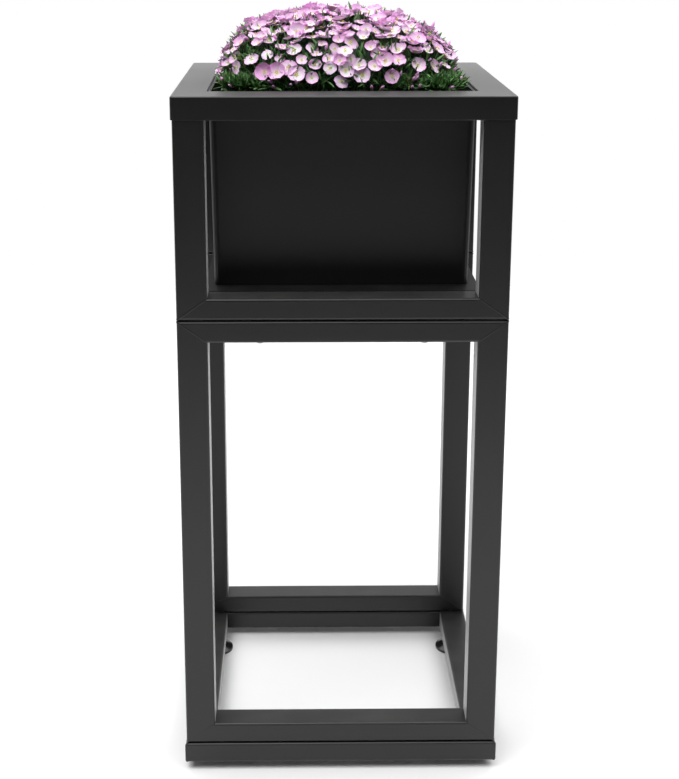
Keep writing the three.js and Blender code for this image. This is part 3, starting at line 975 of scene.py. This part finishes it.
class PLANTER_OT_foliage(bpy.types.Operator):
    """Grow the heart of the plants, a ragged sheet in painted shade, and the leaves over it."""

    bl_idname = "planter.foliage"
    bl_label = "Leaves"

    def execute(self, context):
        sizes = context.scene.planter_sizes
        mound = Mound()
        self.heart(mound)
        draw = random.Random(21)
        heap = Heap("reach", "across", "tint")
        places = bloom_places(mound, sizes)
        heads = kdtree.KDTree(len(places))
        for index, place in enumerate(places):
            heads.insert(place[0], index)
        heads.balance()
        for index in range(sizes.leaves + sizes.skirt_leaves):
            spot, out, lift = mound.scatter(draw)
            in_skirt = index >= sizes.leaves
            if in_skirt and lift > 0.5 or lift > 0.75 and draw.random() < 0.4:
                continue
            depth = draw.uniform(3, 14) * MM
            root = spot - out * depth
            way = facing(out, draw, 0.75 - 0.5 * lift, 0.45)
            size = draw.uniform(0.65, 1.3)
            tip = root + way * sizes.leaf_length * size
            if any(self.covers(tip, *places[near][:3]) for _, near, _ in heads.find_range(tip, 10 * MM)):
                continue
            # Painted shade: the deeper a leaf is rooted, the darker its tint, on top of a random tint.
            light = max(0.0, min(1.0, draw.gauss(0.55, 0.3) - depth * 34))
            grow_leaf(heap, mound, root, way, size * sizes.leaf_length, size * sizes.leaf_width, light, draw)
        self.low_leaves(heap, mound, sizes, draw)
        leaves = heap.make("leaves", "leaves", "planting")
        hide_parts("planting")
        return {"FINISHED"}

    def covers(self, tip, head, way, radius):
        """Whether a leaf's tip would stand in front of a flower's face."""
        return (tip - head).length < radius and (tip - head).dot(way) > -0.1 * radius

    def heart(self, mound):
        """The shaded inside: a ragged cushion in the darkest leaf tint, painted shade that closes the gaps
        between the leaves.
        """
        rows, columns = 20, 120
        heap = Heap("reach", "across", "tint")
        rings = []
        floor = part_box("planting")[0].z + 0.5 * MM
        ring = rounded_ring(mound.half_x * 0.87, mound.half_y * 0.87, 20 * MM, 0.0, steps=17)
        outline = even_ring(ring, columns)
        rings.append([Vector((p.x * 0.8, p.y * 0.8, floor)) for p in outline])
        for row in range(rows):
            kept = 1 - row / rows
            rings.append([mound.over(p.x * kept, p.y * kept, 0.93)[0] - UP * 9 * MM for p in outline])
        points = []
        for ring in rings:
            for p in ring:
                points.append(p - UP * 6 * MM * abs(noise.fractal(p * 90, 0.8, 2.2, 4)))
        width = len(outline)
        for index in range(width):
            points[index].z = floor
        faces = strip_faces(len(rings), width, closed=True)
        faces.append(tuple(range(len(points) - width, len(points))))
        # Tint 0 gives the darkest leaf colour: painted shade for the inside of the plants.
        heap.add(points, faces, reach=0.0, across=1.0, tint=0.0)
        heap.make("plant_heart_painted_shade", "leaves", "planting")

    def low_leaves(self, heap, mound, sizes, draw):
        """The leaves between the soil and the liner's rim, which show when the plants are lifted out."""
        ring = rounded_ring(mound.half_x * 0.86, mound.half_y * 0.86, 20 * MM, 0.0, steps=17)
        outline = even_ring(ring, 240)
        for _ in range(sizes.low_leaves):
            side = draw.choice(outline)
            out = Vector((side.x, side.y, 0)).normalized()
            root = Vector((side.x, side.y, draw.uniform(mound.soil + 1 * MM, mound.rim)))
            size = draw.uniform(0.8, 1.4)
            way = facing(out, draw, 0.35, 0.4)
            light = max(0.0, min(1.0, draw.gauss(0.4, 0.25)))
            grow_leaf(heap, mound, root, way, size * sizes.leaf_length, size * sizes.leaf_width, light, draw)


class PLANTER_OT_flowers(bpy.types.Operator):
    """Set the open flowers, the buds and the shoots into the plants."""

    bl_idname = "planter.flowers"
    bl_label = "Flowers"

    def execute(self, context):
        sizes = context.scene.planter_sizes
        mound = Mound()
        draw = random.Random(5)
        petals = Heap("reach", "across", "tint")
        stems = Heap("reach", "across", "tint")
        anthers = Heap()
        for head, way, radius, tint in bloom_places(mound, sizes):
            self.bloom(petals, mound, head, way, radius, tint, draw)
            self.pollen(anthers, head, way, radius, draw)
            self.stem(stems, mound, head, way, 9 * MM, 0.55 * MM, draw)
        for _ in range(sizes.buds):
            spot, out, _ = mound.scatter(draw)
            way = facing(out, draw, 0.35, 0.3)
            head = spot + out * draw.uniform(-1, 1) * MM
            self.bud(petals, stems, mound, head, way, draw)
        for _ in range(sizes.sprigs):
            spot, out, _ = mound.scatter(draw)
            self.sprig(stems, petals, mound, spot - out * 3 * MM, facing(out, draw, 0.5, 0.15), draw)
        petals.make("petals", "petals", "planting")
        stems.make("stems", "stems", "planting")
        anthers.make("anthers", "anther", "planting")
        return {"FINISHED"}

    def bloom(self, heap, mound, head, way, radius, tint, draw):
        """Four broad overlapping petals in a shallow cup."""
        spin = draw.uniform(0, math.pi / 2)
        cup = draw.uniform(0.15, 1.05)
        rows, columns = 6, 7
        for petal in range(4):
            turn = local_frame(way, spin + petal * math.pi / 2 + draw.gauss(0, 0.07))
            wide = draw.uniform(0.72, 0.86)
            lean = cup + draw.gauss(0, 0.1)
            wave = draw.uniform(0, 2 * math.pi)
            points, reach, across = [], [], []
            for row in range(rows):
                along = row / (rows - 1)
                half = wide * (0.07 + 0.93 * math.sin(math.pi * 0.5 * min(1, along * 1.18)) ** 1.25)
                for column in range(columns):
                    side = 2 * column / (columns - 1) - 1
                    notch = 0.06 * math.exp(-((side / 0.22) ** 2))
                    edge = along**3 * (0.42 * side * side + notch)
                    out = along - edge
                    curl = 0.05 * math.sin(3.1 * side * math.pi + wave) * along**2
                    raise_by = lean * along**1.7 * 0.62 + 0.12 * side * side * along + curl
                    raise_by -= 0.28 * max(0, along - 0.72) * (1.2 - lean)
                    shift = 0.006 * petal
                    local = Vector((side * half * (1 - 0.1 * along), out, raise_by + shift)) * radius
                    points.append(mound.hold(head + turn @ local, 1.5 * MM))
                    reach.append(along)
                    across.append(side)
            heap.add(points, strip_faces(rows, columns), reach=reach, across=across, tint=tint)

    def pollen(self, heap, head, way, radius, draw):
        """Anthers on the middle of a flower."""
        turn = local_frame(way, draw.uniform(0, 6))
        for index in range(5):
            swing = 2 * math.pi * index / 5
            local = Vector((math.cos(swing) * 0.13, math.sin(swing) * 0.13, 0.28 + 0.05 * (index % 2)))
            lump(heap, head + turn @ (local * radius), 0.062 * radius, draw, sides=4, rows=3)

    def tube(self, heap, mound, points, radii, tint):
        sides = 5
        ring_points = []
        for index, p in enumerate(points):
            ahead = points[min(index + 1, len(points) - 1)] - points[max(index - 1, 0)]
            turn = ahead.to_track_quat("Z", "Y")
            for side in range(sides):
                swing = 2 * math.pi * side / sides
                spoke = Vector((math.cos(swing), math.sin(swing), 0)) * radii[index]
                ring_points.append(mound.hold(p + turn @ spoke, 1.5 * MM))
        faces = strip_faces(len(points), sides, closed=True)
        faces.append(tuple(range(sides - 1, -1, -1)))
        faces.append(tuple(range(len(ring_points) - sides, len(ring_points))))
        heap.add(ring_points, faces, reach=0.5, across=1.0, tint=tint)

    def stem(self, heap, mound, head, way, size, radius, draw):
        sag = Vector((draw.gauss(0, 1), draw.gauss(0, 1), 0)) * 1.2 * MM
        tip = head - way * 0.4 * MM
        middle = head - way * size * 0.5 + sag
        foot = head - way * size + sag * 1.5 - UP * 2 * MM
        places = [foot, middle, head - way * 2 * MM, tip]
        self.tube(heap, mound, places, [radius, radius, radius * 1.3, radius * 2.2], 0.55)

    def bud(self, petals, stems, mound, head, way, draw):
        """A furled bud in a green tube."""
        size = draw.uniform(5, 8) * MM
        shape = ((0.0, 0.45), (0.25, 0.95), (0.5, 1.0), (0.78, 0.62), (1.0, 0.12))
        sides = 7
        points, reach = [], []
        turn = local_frame(way, 0)
        for along, wide in shape:
            for side in range(sides):
                swing = 2 * math.pi * side / sides + along * 1.2
                spoke = Vector((math.cos(swing), math.sin(swing), 0)) * wide * 1.5 * MM
                points.append(mound.hold(head + turn @ (spoke + Vector((0, 0, size * along))), 1.5 * MM))
                reach.append(0.75 + 0.25 * along)
        faces = strip_faces(len(shape), sides, closed=True)
        faces.append(tuple(range(len(points) - sides, len(points))))
        petals.add(points, faces, reach=reach, across=0.1, tint=draw.uniform(0.75, 1.0))
        self.stem(stems, mound, head, way, 8 * MM, 0.5 * MM, draw)

    def sprig(self, stems, petals, mound, spot, way, draw):
        """A thin shoot with narrow leaves and now and then a bud."""
        size = draw.uniform(5, 9) * MM
        bend = Vector((draw.gauss(0, 1), draw.gauss(0, 1), 0)) * 1.5 * MM
        points = [spot - way * 5 * MM, spot + way * size * 0.4, spot + way * size + bend]
        self.tube(stems, mound, points, [0.45 * MM, 0.38 * MM, 0.25 * MM], 0.7)
        for _ in range(draw.randint(5, 8)):
            root = spot + way * size * draw.uniform(0.15, 1.0) + bend * 0.5
            out = facing(way, draw, 0.1, 0.5)
            grow_leaf(stems, mound, root, out, draw.uniform(5, 9) * MM, 1.4 * MM, 0.6, draw)
        if draw.random() < 0.4:
            self.bud(petals, stems, mound, points[2], way, draw)


class PLANTER_OT_stage(bpy.types.Operator):
    """Set the pale floor, the soft studio light and the camera."""

    bl_idname = "planter.stage"
    bl_label = "Floor, light and camera"

    def execute(self, context):
        stage = context.scene.planter_stage
        context.scene.view_settings.view_transform = "Standard"
        self.floor(stage)
        self.sky(context.scene, stage)
        self.lamp("key", (-0.7, -1.0, 2.7), 1.6, stage.key_power)
        self.lamp("fill", (1.6, -0.6, 1.5), 1.2, stage.fill_power)
        view = bpy.data.cameras.new("view")
        view.lens = stage.camera_lens
        view.sensor_width = 36
        view.shift_x = stage.camera_side
        view.shift_y = stage.camera_rise
        camera = bpy.data.objects.new("view", view)
        camera.location = stage.camera_place
        camera.rotation_euler = (math.pi / 2 - stage.camera_pitch, 0, -stage.camera_turn)
        context.scene.collection.objects.link(camera)
        context.scene.camera = camera
        return {"FINISHED"}

    def floor(self, stage):
        """A pale disc that fades into the backdrop."""
        rings, sides, radius = 10, 96, 3.2
        points = []
        for ring in range(1, rings + 1):
            for side in range(sides):
                turn = 2 * math.pi * side / sides
                reach = radius * ring / rings
                points.append((reach * math.cos(turn), reach * math.sin(turn), 0.0))
        faces = strip_faces(rings, sides, closed=True)
        faces.append(tuple(range(sides)))
        mesh = bpy.data.meshes.new("floor")
        mesh.from_pydata(points, [], faces)
        made, tree, bsdf = shader("floor")
        bsdf.inputs["Base Color"].default_value = rgba(stage.floor)
        bsdf.inputs["Roughness"].default_value = 0.9
        place = node(tree, "TexCoord").outputs["Object"]
        far = node(tree, "VectorMath", {0: place}, operation="LENGTH").outputs["Value"]
        solid = node(tree, "MapRange", {"Value": far, "From Min": 2.1, "From Max": 1.0}).outputs[0]
        tree.links.new(solid, bsdf.inputs["Alpha"])
        mesh.materials.append(made)
        disc = bpy.data.objects.new("floor", mesh)
        bpy.context.scene.collection.objects.link(disc)

    def sky(self, scene, stage):
        """A studio tent: bright above and behind, dim low in front, with a plain pale backdrop."""
        world = bpy.data.worlds.new("studio")
        world.use_nodes = True
        tree = world.node_tree
        background = tree.nodes["Background"]
        way = node(tree, "TexCoord").outputs["Generated"]
        axes = node(tree, "SeparateXYZ", {0: way})

        def ramp(value, start, stop, low, high):
            limits = {"From Min": start, "From Max": stop, "To Min": low, "To Max": high}
            ramp = node(tree, "MapRange", {"Value": value, **limits}, interpolation_type="SMOOTHSTEP")
            return ramp.outputs[0]

        behind = ramp(axes.outputs["Y"], -0.4, 0.6, 0.0, 1.0)

        def level(front, back):
            span = maths(tree, "MULTIPLY", behind, back - front)
            return maths(tree, "ADD", span, front)

        below = level(stage.front_sky, stage.back_sky * 0.65)
        skyline = level(stage.front_sky, stage.back_sky)
        middle = level(stage.front_sky * 3, stage.back_sky * 0.25)
        height = axes.outputs["Z"]
        lit = blend_value(tree, ramp(height, -0.03, 0.03, 0.0, 1.0), below, skyline)
        lit = blend_value(tree, ramp(height, 0.14, 0.4, 0.0, 1.0), lit, middle)
        lit = blend_value(tree, ramp(height, 0.6, 0.85, 0.0, 1.0), lit, stage.top_sky)
        seen = node(tree, "LightPath").outputs["Is Camera Ray"]
        shade = node(tree, "CombineColor", {0: lit, 1: lit, 2: lit}).outputs[0]
        final = blend_colour(tree, seen, shade, rgba(stage.backdrop))
        tree.links.new(final, background.inputs["Color"])
        scene.world = world

    def lamp(self, name, place, size, power):
        light = bpy.data.lights.new(name, "AREA")
        light.shape = "DISK"
        light.size = size
        light.energy = power
        lamp = bpy.data.objects.new(name, light)
        lamp.location = place
        aim = Vector((0, 0, 0.5)) - Vector(place)
        lamp.rotation_euler = aim.to_track_quat("-Z", "Y").to_euler()
        bpy.context.scene.collection.objects.link(lamp)


class PLANTER_PT_panel(bpy.types.Panel):
    """Lists the planter's steps and their settings."""

    bl_idname = "PLANTER_PT_panel"
    bl_label = "Raised planter"
    bl_space_type = "VIEW_3D"
    bl_region_type = "UI"
    bl_category = "Planter"

    def draw(self, context):
        for step in STEPS:
            self.layout.operator(step.bl_idname)
        for settings in ("planter_finishes", "planter_sizes", "planter_stage"):
            box = self.layout.box()
            group_of_values = getattr(context.scene, settings)
            for name in group_of_values.bl_rna.properties.keys():
                if name not in ("rna_type", "name"):
                    box.prop(group_of_values, name)


STEPS = (
    PLANTER_OT_finishes,
    PLANTER_OT_tubes,
    PLANTER_OT_seams,
    PLANTER_OT_cap,
    PLANTER_OT_feet,
    PLANTER_OT_fasteners,
    PLANTER_OT_liner,
    PLANTER_OT_soil,
    PLANTER_OT_foliage,
    PLANTER_OT_flowers,
    PLANTER_OT_stage,
)
CLASSES = (PlanterFinishes, PlanterSizes, PlanterStage, *STEPS, PLANTER_PT_panel)
SETTINGS = {
    "planter_finishes": PlanterFinishes,
    "planter_sizes": PlanterSizes,
    "planter_stage": PlanterStage,
}


def register():
    for made in CLASSES:
        bpy.utils.register_class(made)
    for name, kind in SETTINGS.items():
        setattr(bpy.types.Scene, name, bpy.props.PointerProperty(type=kind))


def unregister():
    for name in SETTINGS:
        delattr(bpy.types.Scene, name)
    for made in reversed(CLASSES):
        bpy.utils.unregister_class(made)


def main():
    register()
    for step in STEPS:
        area, name = step.bl_idname.split(".")
        getattr(getattr(bpy.ops, area), name)()
    bpy.context.view_layer.update()


if __name__ == "__main__":
    main()
